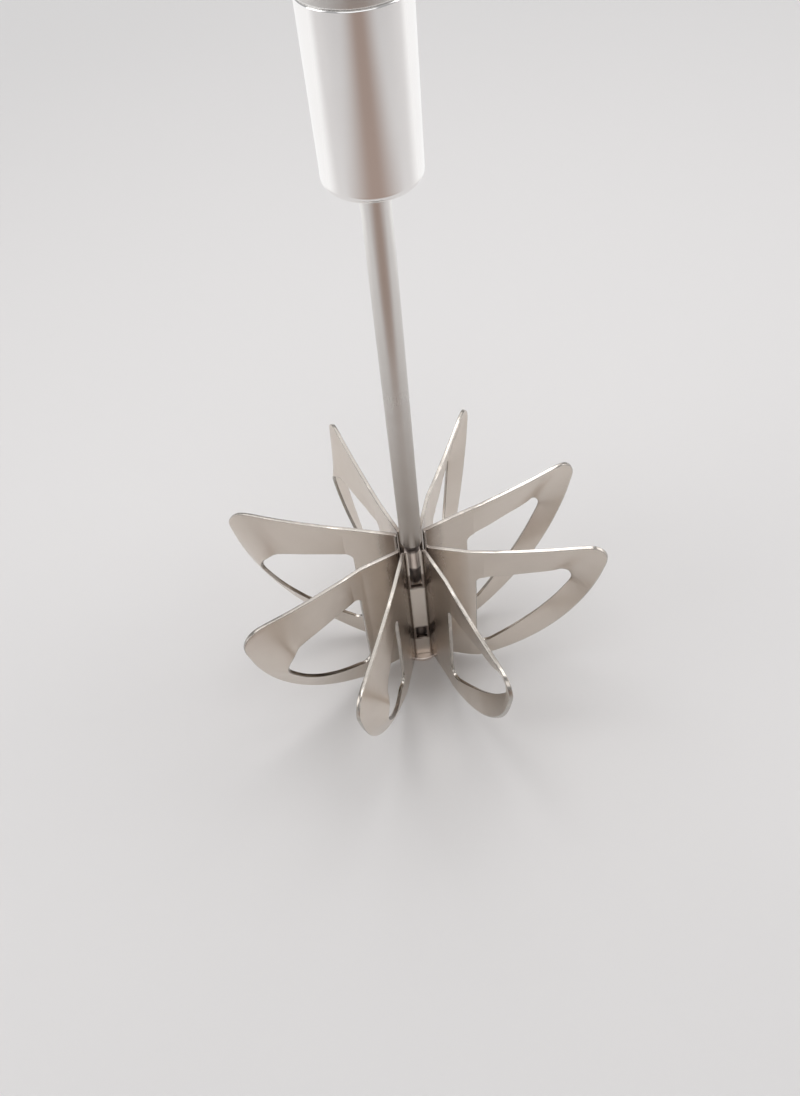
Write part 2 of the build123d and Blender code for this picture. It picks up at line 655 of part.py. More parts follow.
def cap_pieces():
    """End cap with its sealing ring, push button, rubber boot and bridge contact."""
    spigot = grip_bore_radius - SLIDING_CLEARANCE
    spigot_bore = spigot - CAP_SPIGOT_WALL
    cavity = cap_radius - CAP_CAVITY_WALL
    cap = rod(cap_radius, cap_foot, cap_top)
    cap = round_edges(cap, cap_top, cap_radius, CAP_CROWN_ROUND)
    cap += rod(spigot, cap_spigot_foot, cap_foot)
    cap -= rod(spigot_bore, cap_spigot_foot, boot_shelf)
    cap -= rod(cavity, boot_shelf, cap_ceiling)
    cap -= rod(button_radius + BUTTON_PLAY, cap_ceiling, cap_top)
    groove_circle = cap_radius + CAP_GROOVE_RADIUS - CAP_GROOVE_DEPTH
    cap -= Pos(0, 0, cap_foot + CAP_GROOVE_HEIGHT) * Torus(groove_circle, CAP_GROOVE_RADIUS)
    wire = CAP_RING_WIRE / 2
    wire_circle = spigot - wire
    wire_height = (cap_spigot_foot + cap_foot) / 2
    cap -= ring(
        grip_radius, wire_circle - wire - SEAT_CLEARANCE, wire_height - wire, wire_height + wire
    )
    button_top = cap_top + BUTTON_PROUD
    button = rod(button_radius, flange_top, button_top)
    button = round_edges(button, button_top, button_radius, BUTTON_ROUND)
    dish = BUTTON_DISH_DIAMETER / 2
    dish_radius = (dish**2 + BUTTON_DISH_DEPTH**2) / (2 * BUTTON_DISH_DEPTH)
    button -= Pos(0, 0, button_top - BUTTON_DISH_DEPTH + dish_radius) * Sphere(dish_radius)
    button += rod(button_radius + BUTTON_FLANGE, flange_foot, flange_top)
    stem = BUTTON_STEM_DIAMETER / 2
    stem_foot = bridge_foot + CONTACT_SHEET
    button += rod(stem, stem_foot, flange_foot)
    rim = BRIDGE_DIAMETER / 2
    rim_width = rim - carrier_bore_radius - CELL_PLAY
    bridge = turned(
        (0, bridge_foot),
        (rim - rim_width, bridge_foot),
        (rim - rim_width, bridge_rim_foot),
        (rim, bridge_rim_foot),
        (rim, bridge_rim_foot + CONTACT_SHEET),
        (rim - rim_width + CONTACT_SHEET, bridge_rim_foot + CONTACT_SHEET),
        (rim - rim_width + CONTACT_SHEET, bridge_foot + CONTACT_SHEET),
        (0, bridge_foot + CONTACT_SHEET),
    )
    boot_outer = cavity - SEAT_CLEARANCE
    boot_inner = stem + SLIDING_CLEARANCE
    boot_top = flange_foot - STOP_GAP
    boot = turned(
        (boot_outer - BOOT_FOOT, boot_shelf),
        (boot_outer, boot_shelf),
        (boot_outer, boot_shelf + BOOT_SHEET),
        (boot_inner + BOOT_FOOT, boot_top),
        (boot_inner, boot_top),
        (boot_inner, boot_top - BOOT_SHEET),
        (boot_inner + BOOT_FOOT, boot_top - BOOT_SHEET),
    )
    return {
        "end_cap": cap,
        "cap_ring": Pos(0, 0, wire_height) * Torus(wire_circle, wire),
        "power_button": button,
        "bridge_contact": bridge,
        "button_boot": boot,
    }


def all_pieces():
    """Every piece of the frother under its node name."""
    pieces = {"grip_shell": ring(grip_radius, grip_bore_radius, 0, grip_top)}
    for group in (nose_pieces, motor_pieces, power_pieces, cap_pieces):
        pieces.update(group())
    for group in (shaft_pieces, hub_pieces, blade_pairs):
        pieces.update(group())
    return pieces


os.makedirs("parts", exist_ok=True)
for node, solid in all_pieces().items():
    export_step(solid, f"parts/{node}.step")
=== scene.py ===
"""Looks of the hand-held milk frother: bent-sheet whisk head, shaft, collar, grip, cap and works.

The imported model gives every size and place. Around it this script lays rounded, polished cut
edges, the finishes of all pieces, a pale floor, soft light and the camera. Lengths are metres.
"""

import json
import logging
import math
from dataclasses import dataclass, field
from enum import Enum

import bmesh
import bpy
from mathutils import Matrix, Vector

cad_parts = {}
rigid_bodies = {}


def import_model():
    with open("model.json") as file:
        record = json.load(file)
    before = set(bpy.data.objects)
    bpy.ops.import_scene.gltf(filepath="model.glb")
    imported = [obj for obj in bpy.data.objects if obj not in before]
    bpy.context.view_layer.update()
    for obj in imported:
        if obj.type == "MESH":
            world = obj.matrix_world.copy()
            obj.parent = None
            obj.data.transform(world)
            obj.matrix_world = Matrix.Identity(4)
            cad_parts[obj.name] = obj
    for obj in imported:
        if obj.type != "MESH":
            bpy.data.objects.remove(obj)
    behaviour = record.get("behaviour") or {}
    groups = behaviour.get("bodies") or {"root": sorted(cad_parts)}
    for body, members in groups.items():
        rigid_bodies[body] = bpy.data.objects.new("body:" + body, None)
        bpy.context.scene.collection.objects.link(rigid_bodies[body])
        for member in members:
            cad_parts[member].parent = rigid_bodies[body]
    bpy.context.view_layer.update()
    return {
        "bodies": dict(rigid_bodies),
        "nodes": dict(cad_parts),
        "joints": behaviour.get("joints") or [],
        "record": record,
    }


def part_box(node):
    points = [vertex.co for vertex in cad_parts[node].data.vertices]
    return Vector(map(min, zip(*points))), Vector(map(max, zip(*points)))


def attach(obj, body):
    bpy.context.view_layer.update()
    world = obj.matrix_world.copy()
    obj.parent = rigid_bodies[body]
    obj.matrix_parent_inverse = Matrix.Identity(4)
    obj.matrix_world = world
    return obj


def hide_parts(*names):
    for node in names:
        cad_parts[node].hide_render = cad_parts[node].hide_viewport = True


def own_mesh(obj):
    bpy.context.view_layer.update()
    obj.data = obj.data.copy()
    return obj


LOG = logging.getLogger("frother")
MM = 0.001
EDGE_ATTRIBUTE = "cut_edge"
LEVEL_PLANE = (1.0, 1.0, 0.0)
WHITE = (1.0, 1.0, 1.0)
NORMAL_WEIGHT = 80
FLOOR_GAP = 0.2 * MM

Colour = tuple[float, float, float]
Triple = tuple[float, float, float]
Span = tuple[float, float]


class Grain(Enum):
    """Direction of the fine finishing lines, as frequencies per metre along X, Y and Z."""

    RINGS = (900.0, 900.0, 26000.0)
    LENGTHWISE = (21000.0, 21000.0, 260.0)
    SHEET = (2600.0, 2600.0, 14000.0)
    EVEN = (6000.0, 6000.0, 6000.0)


class Socket(Enum):
    """Kinds of socket that a shared node group can have."""

    VALUE = "NodeSocketFloat"
    VECTOR = "NodeSocketVector"


def opaque(colour: Colour) -> tuple[float, float, float, float]:
    """Return the colour with full alpha."""
    return (*colour, 1.0)


class NodeSheet:
    """Short-hand for laying nodes and links in one node tree."""

    def __init__(self, tree: bpy.types.NodeTree) -> None:
        """Start on an empty node tree.

        Args:
            tree: The tree of a material or of a node group.
        """
        self.tree = tree
        self.tree.nodes.clear()

    def add(self, kind: str, inputs: dict | None = None, **settings: object) -> bpy.types.Node:
        """Add a node, set its properties and fill or link its inputs.

        Args:
            kind: Blender's identifier of the node.
            inputs: Values or sockets for the named or numbered inputs.
            settings: Properties of the node.

        Returns:
            The new node.
        """
        node = self.tree.nodes.new(kind)
        for name, value in settings.items():
            setattr(node, name, value)
        for key, value in (inputs or {}).items():
            self.put(node.inputs[key], value)
        return node

    def put(self, socket: bpy.types.NodeSocket, value: object) -> None:
        """Link a socket to another one, or set its plain value.

        Args:
            socket: The input to fill.
            value: An output socket or a plain value.
        """
        if isinstance(value, bpy.types.NodeSocket):
            self.tree.links.new(value, socket)
        else:
            socket.default_value = value

    def math(self, operation: str, *terms: object) -> bpy.types.NodeSocket:
        """Add a Math node.

        Args:
            operation: Name of the operation.
            terms: Values or sockets that it works on.

        Returns:
            The result's socket.
        """
        return self.add("ShaderNodeMath", dict(enumerate(terms)), operation=operation).outputs[0]

    def blend(self, factor: object, low: object, high: object) -> bpy.types.NodeSocket:
        """Mix two colours.

        Args:
            factor: Share of the second colour.
            low: First colour.
            high: Second colour.

        Returns:
            The mixed colour's socket.
        """
        node = self.add("ShaderNodeMix", data_type="RGBA")
        self.put(node.inputs[0], factor)
        self.put(node.inputs[6], low)
        self.put(node.inputs[7], high)
        return node.outputs[2]

    def span(
        self, value: object, low: object, high: object, to_low: object, to_high: object
    ) -> bpy.types.NodeSocket:
        """Map a value from one range to another, clamped and smooth.

        Args:
            value: The value to map.
            low: Start of the range.
            high: End of the range.
            to_low: Result at the start.
            to_high: Result at the end.

        Returns:
            The mapped value's socket.
        """
        terms = {0: value, 1: low, 2: high, 3: to_low, 4: to_high}
        node = self.add("ShaderNodeMapRange", terms, interpolation_type="SMOOTHSTEP")
        return node.outputs[0]

    def axis_distance(self, place: bpy.types.NodeSocket) -> bpy.types.NodeSocket:
        """Measure how far a place lies from the upright axis.

        Args:
            place: Socket of the place.

        Returns:
            The distance's socket.
        """
        flat = self.add("ShaderNodeVectorMath", {0: place, 1: LEVEL_PLANE}, operation="MULTIPLY")
        return self.add("ShaderNodeVectorMath", {0: flat.outputs[0]}, operation="LENGTH").outputs["Value"]

    def sway(
        self, place: bpy.types.NodeSocket, scale: float, detail: float, reach: float
    ) -> bpy.types.NodeSocket:
        """Make a noise that wavers by a length to both sides of nought.

        Args:
            place: Socket of the place.
            scale: Fineness of the noise.
            detail: Number of its finer layers.
            reach: Largest length to either side.

        Returns:
            The length's socket.
        """
        noise = self.add("ShaderNodeTexNoise", {"Vector": place, "Scale": scale, "Detail": detail})
        return self.math("MULTIPLY_ADD", noise.outputs[0], 2.0 * reach, -reach)

    def group(self, tree: bpy.types.NodeTree, inputs: dict) -> bpy.types.NodeSocket:
        """Place a shared node group.

        Args:
            tree: The shared group.
            inputs: Values or sockets for the group's inputs.

        Returns:
            The group's first output.
        """
        node = self.add("ShaderNodeGroup", node_tree=tree)
        for key, value in inputs.items():
            self.put(node.inputs[key], value)
        return node.outputs[0]


def group_tree(name: str, inputs: dict[str, Socket], outputs: dict[str, Socket]) -> bpy.types.NodeTree:
    """Make an empty shader node group with its named sockets.

    Args:
        name: Name of the group.
        inputs: Names and kinds of its inputs.
        outputs: Names and kinds of its outputs.

    Returns:
        The new group.
    """
    tree = bpy.data.node_groups.new(name, "ShaderNodeTree")
    for label, kind in inputs.items():
        tree.interface.new_socket(label, in_out="INPUT", socket_type=kind.value)
    for label, kind in outputs.items():
        tree.interface.new_socket(label, in_out="OUTPUT", socket_type=kind.value)
    return tree


@dataclass
class SurfaceEffects:
    """Node groups that several finishes share, with the sizes of what they show."""

    broad_scale: float = 0.13
    blotches: Span = (0.42, 0.68)
    speck_ratio: float = 3.0
    speck_sizes: Span = (0.1, 0.35)
    speck_share: float = 0.35
    rub_scale: float = 420.0
    rub_noise: Span = (0.25, 0.5)
    rub_least: float = 0.45
    # wavering edge of the painted shade near the axis
    axis_shade_noise: float = 260.0
    axis_shade_sway: float = 1.5 * MM
    bend_width: float = 0.4 * MM
    # wavering upper line of the darker lower part of the shaft
    low_dark_noise: float = 180.0
    low_dark_sway: float = 4.0 * MM
    # wavering edges of the painted shade round the hub's gaps
    gap_shade_noise: float = 500.0
    gap_shade_sway: float = 0.6 * MM
    gap_shade_fade: float = 0.9 * MM
    gap_shade_side_fade: float = 2.0 * MM
    lines: bpy.types.NodeTree = field(init=False)
    marks: bpy.types.NodeTree = field(init=False)
    edges: bpy.types.NodeTree = field(init=False)
    depth: bpy.types.NodeTree = field(init=False)
    low_dark: bpy.types.NodeTree = field(init=False)
    gap_shade: bpy.types.NodeTree = field(init=False)

    def __post_init__(self) -> None:
        """Build the groups once."""
        self.lines = self._finishing_lines()
        self.marks = self._handling_marks()
        self.edges = self._polished_edges()
        self.depth = self._axis_painted_shade()
        self.low_dark = self._lower_darkening()
        self.gap_shade = self._gap_painted_shade()

    def _finishing_lines(self) -> bpy.types.NodeTree:
        """Build the fine lines that rolling, turning or brushing leaves.

        Returns:
            Group with a stretched Vector in and a Lines value out.
        """
        tree = group_tree(
            "finishing_lines",
            {"Vector": Socket.VECTOR, "Contrast": Socket.VALUE},
            {"Lines": Socket.VALUE},
        )
        sheet = NodeSheet(tree)
        given = sheet.add("NodeGroupInput").outputs
        place = given["Vector"]
        fine = sheet.add("ShaderNodeTexNoise", {"Vector": place, "Scale": 1.0, "Detail": 3.0})
        broad = sheet.add("ShaderNodeTexNoise", {"Vector": place, "Scale": self.broad_scale, "Detail": 2.0})
        both = sheet.math("ADD", fine.outputs[0], broad.outputs[0])
        centred = sheet.math("SUBTRACT", both, 1.0)
        spread = sheet.math("MULTIPLY_ADD", centred, given["Contrast"], 0.5)
        sheet.add("NodeGroupOutput", {"Lines": spread})
        return tree

    def _handling_marks(self) -> bpy.types.NodeTree:
        """Build the soft blotches that washing and fingers leave.

        Returns:
            Group with a Vector and Scale in and a Mask out.
        """
        tree = group_tree(
            "handling_marks",
            {"Vector": Socket.VECTOR, "Scale": Socket.VALUE},
            {"Mask": Socket.VALUE},
        )
        sheet = NodeSheet(tree)
        given = sheet.add("NodeGroupInput").outputs
        warp = sheet.add(
            "ShaderNodeTexNoise",
            {
                "Vector": given["Vector"],
                "Scale": given["Scale"],
                "Detail": 4.0,
                "Roughness": 0.6,
                "Distortion": 0.8,
            },
        )
        speck = sheet.add(
            "ShaderNodeTexVoronoi",
            {"Vector": given["Vector"], "Scale": sheet.math("MULTIPLY", given["Scale"], self.speck_ratio)},
            feature="SMOOTH_F1",
        )
        soft = sheet.span(warp.outputs[0], *self.blotches, 0.0, 1.0)
        drops = sheet.span(speck.outputs[0], *self.speck_sizes, self.speck_share, 0.0)
        sheet.add("NodeGroupOutput", {"Mask": sheet.math("MAXIMUM", soft, drops)})
        return tree

    def _polished_edges(self) -> bpy.types.NodeTree:
        """Build the broken-up mask of rubbed, rounded edges.

        Returns:
            Group with a Vector in and a Mask out.
        """
        tree = group_tree("polished_edges", {"Vector": Socket.VECTOR}, {"Mask": Socket.VALUE})
        sheet = NodeSheet(tree)
        given = sheet.add("NodeGroupInput").outputs
        mark = sheet.add("ShaderNodeAttribute", attribute_name=EDGE_ATTRIBUTE)
        noise = sheet.add(
            "ShaderNodeTexNoise", {"Vector": given["Vector"], "Scale": self.rub_scale, "Detail": 3.0}
        )
        keep = sheet.span(noise.outputs[0], *self.rub_noise, self.rub_least, 1.0)
        sheet.add("NodeGroupOutput", {"Mask": sheet.math("MULTIPLY", mark.outputs["Fac"], keep)})
        return tree

    def _axis_painted_shade(self) -> bpy.types.NodeTree:
        """Build the mask of the painted shade beside the bends near the axis: a brown darkening that stands
        in for the shade and dark reflections between the sheets.

        Returns:
            Group with a Vector, Near and Far radius in and a Mask out.
        """
        tree = group_tree(
            "axis_painted_shade",
            {"Vector": Socket.VECTOR, "Near": Socket.VALUE, "Far": Socket.VALUE},
            {"Mask": Socket.VALUE},
        )
        sheet = NodeSheet(tree)
        given = sheet.add("NodeGroupInput").outputs
        radius = sheet.axis_distance(given["Vector"])
        sway = sheet.sway(given["Vector"], self.axis_shade_noise, detail=4.0, reach=self.axis_shade_sway)
        fading = sheet.span(sheet.math("ADD", radius, sway), given["Near"], given["Far"], 1.0, 0.0)
        bend = sheet.math("SUBTRACT", given["Near"], self.bend_width)
        rising = sheet.span(radius, bend, given["Near"], 0.0, 1.0)
        sheet.add("NodeGroupOutput", {"Mask": sheet.math("MULTIPLY", fading, rising)})
        return tree

    def _lower_darkening(self) -> bpy.types.NodeTree:
        """Build the mask of the darker lower part of the shaft, with a wavering upper line.

        Returns:
            Group with a Vector, Top and Foot height in and a Mask out.
        """
        tree = group_tree(
            "lower_darkening",
            {"Vector": Socket.VECTOR, "Top": Socket.VALUE, "Foot": Socket.VALUE},
            {"Mask": Socket.VALUE},
        )
        sheet = NodeSheet(tree)
        given = sheet.add("NodeGroupInput").outputs
        height = sheet.add("ShaderNodeSeparateXYZ", {0: given["Vector"]}).outputs["Z"]
        sway = sheet.sway(given["Vector"], self.low_dark_noise, detail=4.0, reach=self.low_dark_sway)
        mask = sheet.span(sheet.math("ADD", height, sway), given["Foot"], given["Top"], 1.0, 0.0)
        sheet.add("NodeGroupOutput", {"Mask": mask})
        return tree

    def _gap_painted_shade(self) -> bpy.types.NodeTree:
        """Build the mask of the painted shade round a gap in the hub: a dark ring where shade falls in the
        gap.

        Returns:
            Group with a Vector, Height, Half height and Reach in and a Mask out.
        """
        tree = group_tree(
            "gap_painted_shade",
            {"Vector": Socket.VECTOR, "Height": Socket.VALUE, "Half": Socket.VALUE, "Reach": Socket.VALUE},
            {"Mask": Socket.VALUE},
        )
        sheet = NodeSheet(tree)
        given = sheet.add("NodeGroupInput").outputs
        sway = sheet.sway(given["Vector"], self.gap_shade_noise, detail=3.0, reach=self.gap_shade_sway)
        height = sheet.add("ShaderNodeSeparateXYZ", {0: given["Vector"]}).outputs["Z"]
        off = sheet.math("ABSOLUTE", sheet.math("SUBTRACT", height, given["Height"]))
        end = sheet.math("ADD", given["Half"], self.gap_shade_fade)
        band = sheet.span(sheet.math("ADD", off, sway), given["Half"], end, 1.0, 0.0)
        radius = sheet.axis_distance(given["Vector"])
        limit = sheet.math("ADD", given["Reach"], self.gap_shade_side_fade)
        near = sheet.span(sheet.math("ADD", radius, sway), given["Reach"], limit, 1.0, 0.0)
        sheet.add("NodeGroupOutput", {"Mask": sheet.math("MULTIPLY", band, near)})
        return tree


@dataclass(frozen=True)
class GapShade:
    """A ring of painted shade round a gap in the hub: the gap's middle height and half its height."""

    height: float
    half: float


@dataclass(frozen=True)
class MetalFinish:
    """A bare metal surface with finishing lines, washing marks and rubbed edges, plus painted shade near the
    axis and round the hub's gaps and a darker lower shaft.
    """

    name: str
    colour: Colour
    marked: Colour
    edge: Colour
    grain: Grain
    roughness: float
    roughness_spread: float = 0.08
    line_contrast: float = 1.0
    line_share: float = 0.25
    line_depth: float = 0.004 * MM
    line_strength: float = 0.6
    mark_scale: float = 60.0
    mark_share: float = 0.5
    # dark colour: painted shade near the axis and round the hub's gaps, and the darker lower part of the
    # shaft
    darkening_colour: Colour = (0.2, 0.15, 0.11)
    axis_shade_share: float = 0.0
    axis_shade_near: float = 3.0 * MM
    axis_shade_far: float = 11.0 * MM
    inner_gloss: float = 1.0
    edge_gloss: float = 0.7
    low_dark_share: float = 0.0
    low_dark_foot: float = -125.0 * MM
    low_dark_top: float = -45.0 * MM
    low_dark_roughness: float = 2.0
    # rings of painted shade round the hub's gaps
    gap_shades: tuple[GapShade, ...] = ()
    gap_shade_reach: float = 4.5 * MM
    gap_shade_share: float = 0.85

    def build(self, effects: SurfaceEffects) -> bpy.types.Material:
        """Lay the finish's nodes.

        Args:
            effects: The shared node groups.

        Returns:
            The material.
        """
        material = bpy.data.materials.new(self.name)
        material.use_nodes = True
        sheet = NodeSheet(material.node_tree)
        place = sheet.add("ShaderNodeTexCoord").outputs["Object"]
        stretched = sheet.add("ShaderNodeMapping", {"Vector": place, "Scale": self.grain.value}).outputs[0]
        lines = sheet.group(effects.lines, {"Vector": stretched, "Contrast": self.line_contrast})
        marks = sheet.group(effects.marks, {"Vector": place, "Scale": self.mark_scale})
        edges = sheet.group(effects.edges, {"Vector": place})
        # painted shade near the axis, beside the bends
        ends = {"Vector": place, "Near": self.axis_shade_near, "Far": self.axis_shade_far}
        inner = sheet.group(effects.depth, ends)
        darkening = sheet.math("MULTIPLY", inner, self.axis_shade_share)
        spots = sheet.math("MULTIPLY", marks, self.mark_share)
        tone = sheet.blend(spots, opaque(self.colour), opaque(self.marked))
        lined = sheet.blend(sheet.math("MULTIPLY", lines, self.line_share), tone, opaque(self.marked))
        # darker and duller towards the bottom of the shaft
        line = {"Vector": place, "Top": self.low_dark_top, "Foot": self.low_dark_foot}
        low_dark = sheet.math("MULTIPLY", sheet.group(effects.low_dark, line), self.low_dark_share)
        darkening = sheet.math("MAXIMUM", darkening, low_dark)
        # painted shade round the hub's gaps
        for gap_shade in self.gap_shades:
            ring = {
                "Vector": place,
                "Height": gap_shade.height,
                "Half": gap_shade.half,
                "Reach": self.gap_shade_reach,
            }
            gap_shaded = sheet.math("MULTIPLY", sheet.group(effects.gap_shade, ring), self.gap_shade_share)
            darkening = sheet.math("MAXIMUM", darkening, gap_shaded)
        edged = sheet.blend(edges, lined, opaque(self.edge))
        # mix in the dark colour: painted shade near the axis and round the gaps, and the darker lower shaft
        final = sheet.blend(darkening, edged, opaque(self.darkening_colour))
        rough = sheet.span(lines, 0.0, 1.0, self.roughness - self.roughness_spread, self.roughness)
        rough = sheet.math("MULTIPLY_ADD", marks, self.roughness_spread, rough)
        rough = sheet.math("MULTIPLY", rough, sheet.span(edges, 0.0, 1.0, 1.0, self.edge_gloss))
        rough = sheet.math("MULTIPLY", rough, sheet.span(inner, 0.0, 1.0, 1.0, self.inner_gloss))
        rough = sheet.math("MULTIPLY", rough, sheet.span(low_dark, 0.0, 1.0, 1.0, self.low_dark_roughness))
        relief = {"Height": lines, "Distance": self.line_depth, "Strength": self.line_strength}
        bump = sheet.add("ShaderNodeBump", relief)
        shader = sheet.add(
            "ShaderNodeBsdfPrincipled",
            {"Base Color": final, "Metallic": 1.0, "Roughness": rough, "Normal": bump.outputs[0]},
        )
        sheet.add("ShaderNodeOutputMaterial", {"Surface": shader.outputs[0]})
        return material


@dataclass(frozen=True)
class MouldedFinish:
    """A moulded plastic or rubber surface with a fine eroded grain and rubbed edges."""

    name: str
    colour: Colour
    marked: Colour
    edge: Colour
    roughness: float
    grain_scale: float = 5200.0
    grain_depth: float = 0.03 * MM
    grain_strength: float = 0.5
    cloud_ratio: float = 0.3
    cloud_height: float = 0.6
    pit_heights: Span = (0.3, 0.9)
    pit_share: float = 0.35
    mark_scale: float = 70.0
    mark_share: float = 0.4
    mark_gloss: float = 0.12
    edge_share: float = 0.5
    specular: float = 0.5

    def build(self, effects: SurfaceEffects) -> bpy.types.Material:
        """Lay the finish's nodes.

        Args:
            effects: The shared node groups.

        Returns:
            The material.
        """
        material = bpy.data.materials.new(self.name)
        material.use_nodes = True
        sheet = NodeSheet(material.node_tree)
        place = sheet.add("ShaderNodeTexCoord").outputs["Object"]
        marks = sheet.group(effects.marks, {"Vector": place, "Scale": self.mark_scale})
        edges = sheet.group(effects.edges, {"Vector": place})
        pits = sheet.add(
            "ShaderNodeTexVoronoi", {"Vector": place, "Scale": self.grain_scale}, feature="SMOOTH_F1"
        ).outputs[0]
        cloud = sheet.add(
            "ShaderNodeTexNoise",
            {"Vector": place, "Scale": self.grain_scale * self.cloud_ratio, "Detail": 3.0},
        )
        height = sheet.math("MULTIPLY_ADD", cloud.outputs[0], self.cloud_height, pits)
        spots = sheet.math("MULTIPLY", marks, self.mark_share)
        tone = sheet.blend(spots, opaque(self.colour), opaque(self.marked))
        raised = sheet.span(height, *self.pit_heights, 0.0, self.pit_share)
        pitted = sheet.blend(raised, tone, opaque(self.marked))
        final = sheet.blend(sheet.math("MULTIPLY", edges, self.edge_share), pitted, opaque(self.edge))
        rough = sheet.math("MULTIPLY_ADD", marks, -self.mark_gloss, self.roughness)
        relief = {"Height": height, "Distance": self.grain_depth, "Strength": self.grain_strength}
        bump = sheet.add("ShaderNodeBump", relief)
        shader = sheet.add(
            "ShaderNodeBsdfPrincipled",
            {
                "Base Color": final,
                "Roughness": rough,
                "Normal": bump.outputs[0],
                "Specular IOR Level": self.specular,
            },
        )
        sheet.add("ShaderNodeOutputMaterial", {"Surface": shader.outputs[0]})
        return material


@dataclass(frozen=True)
class LayeredFinish:
    """A surface of thin plates or bands stacked along the axis, such as a laminated core."""

    name: str
    colour: Colour
    band: Colour
    band_height: float
    band_share: float
    metallic: float
    roughness: float
    band_fade: float = 0.08
    band_depth: float = 0.03 * MM
    band_strength: float = 0.4
    mark_scale: float = 120.0
    mark_share: float = 0.3
    mark_roughness: float = 0.12

    def build(self, effects: SurfaceEffects) -> bpy.types.Material:
        """Lay the finish's nodes.

        Args:
            effects: The shared node groups.

        Returns:
            The material.
        """
        material = bpy.data.materials.new(self.name)
        material.use_nodes = True
        sheet = NodeSheet(material.node_tree)
        place = sheet.add("ShaderNodeTexCoord").outputs["Object"]
        height = sheet.add("ShaderNodeSeparateXYZ", {0: place}).outputs["Z"]
        turns = sheet.math("DIVIDE", height, self.band_height)
        wave = sheet.math("PINGPONG", turns, 0.5)
        edge = 0.5 * self.band_share
        band = sheet.span(wave, edge, edge + self.band_fade, 1.0, 0.0)
        marks = sheet.group(effects.marks, {"Vector": place, "Scale": self.mark_scale})
        tone = sheet.blend(band, opaque(self.colour), opaque(self.band))
        final = sheet.blend(sheet.math("MULTIPLY", marks, self.mark_share), tone, opaque(self.band))
        rough = sheet.math("MULTIPLY_ADD", marks, self.mark_roughness, self.roughness)
        relief = {"Height": band, "Distance": self.band_depth, "Strength": self.band_strength}
        bump = sheet.add("ShaderNodeBump", relief, invert=True)
        shader = sheet.add(
            "ShaderNodeBsdfPrincipled",
            {"Base Color": final, "Metallic": self.metallic, "Roughness": rough, "Normal": bump.outputs[0]},
        )
        sheet.add("ShaderNodeOutputMaterial", {"Surface": shader.outputs[0]})
        return material


BLADE_STEEL = MetalFinish(
    "blade_steel", (0.72, 0.655, 0.59), (0.66, 0.595, 0.53), (0.44, 0.41, 0.375), Grain.SHEET, roughness=0.32,
    roughness_spread=0.05, line_contrast=0.7, line_depth=0.002 * MM, mark_scale=70.0, mark_share=0.4,
    # painted shade near the axis and round the hub's two gaps, standing in for shade and dark reflections
    # between the sheets
    darkening_colour=(0.1, 0.066, 0.05), axis_shade_share=0.66, axis_shade_near=3.7 * MM, axis_shade_far=8.5 * MM,
    inner_gloss=0.6,
    gap_shades=(GapShade(-138.2 * MM, 2.2 * MM), GapShade(-158.3 * MM, 2.1 * MM)),
    gap_shade_reach=5.0 * MM, gap_shade_share=0.8,
)
HUB_STEEL = MetalFinish(
    "hub_steel", (0.9, 0.8, 0.74), (0.82, 0.72, 0.65), (0.9, 0.82, 0.76), Grain.RINGS, roughness=0.45,
    mark_scale=150.0, darkening_colour=(0.05, 0.035, 0.03),
    # painted shade round the hub's gaps and under the shaft's end
    gap_shades=(
        GapShade(-128.5 * MM, 1.2 * MM),
        GapShade(-138.0 * MM, 2.4 * MM),
        GapShade(-158.3 * MM, 2.2 * MM),
    ),
)
SHAFT_STEEL = MetalFinish(
    "shaft_steel", (0.78, 0.76, 0.74), (0.7, 0.68, 0.66), (0.85, 0.83, 0.8), Grain.LENGTHWISE, roughness=0.22,
    roughness_spread=0.05, line_contrast=0.5, line_depth=0.0008 * MM, mark_scale=40.0, mark_share=0.3,
    # darker and duller towards the bottom
    darkening_colour=(0.36, 0.32, 0.28), low_dark_share=0.75,
)
COLLAR_CHROME = MetalFinish(
    "collar_chrome", (0.92, 0.905, 0.895), (0.87, 0.85, 0.84), (0.93, 0.92, 0.91), Grain.RINGS, roughness=0.1,
    roughness_spread=0.04, line_contrast=0.5, line_depth=0.002 * MM, mark_scale=40.0, mark_share=0.3,
)
GRIP_STEEL = MetalFinish(
    "grip_steel", (0.66, 0.64, 0.62), (0.58, 0.56, 0.54), (0.8, 0.79, 0.77), Grain.LENGTHWISE, roughness=0.34,
    roughness_spread=0.12, line_contrast=1.4, line_depth=0.008 * MM, mark_scale=28.0, mark_share=0.5,
)
SCREW_STEEL = MetalFinish(
    "screw_steel", (0.5, 0.5, 0.5), (0.4, 0.4, 0.4), (0.7, 0.7, 0.7), Grain.RINGS, roughness=0.3,
    mark_scale=300.0,
)
MOTOR_STEEL = MetalFinish(
    "motor_steel", (0.6, 0.6, 0.6), (0.5, 0.5, 0.49), (0.75, 0.75, 0.74), Grain.RINGS, roughness=0.4,
    mark_scale=120.0,
)
CONTACT_BRASS = MetalFinish(
    "contact_brass", (0.78, 0.6, 0.28), (0.62, 0.44, 0.2), (0.9, 0.75, 0.42), Grain.EVEN, roughness=0.3,
    mark_scale=200.0,
)
BUSH_BRONZE = MetalFinish(
    "bush_bronze", (0.62, 0.42, 0.24), (0.46, 0.3, 0.17), (0.74, 0.54, 0.33), Grain.EVEN, roughness=0.42,
    mark_scale=240.0,
)
CAP_PLASTIC = MouldedFinish(
    "cap_plastic", (0.022, 0.022, 0.024), (0.035, 0.034, 0.034), (0.06, 0.06, 0.06), roughness=0.46,
)
BUTTON_PLASTIC = MouldedFinish(
    "button_plastic", (0.05, 0.05, 0.053), (0.07, 0.07, 0.071), (0.11, 0.11, 0.11), roughness=0.55,
    grain_scale=7600.0,
)
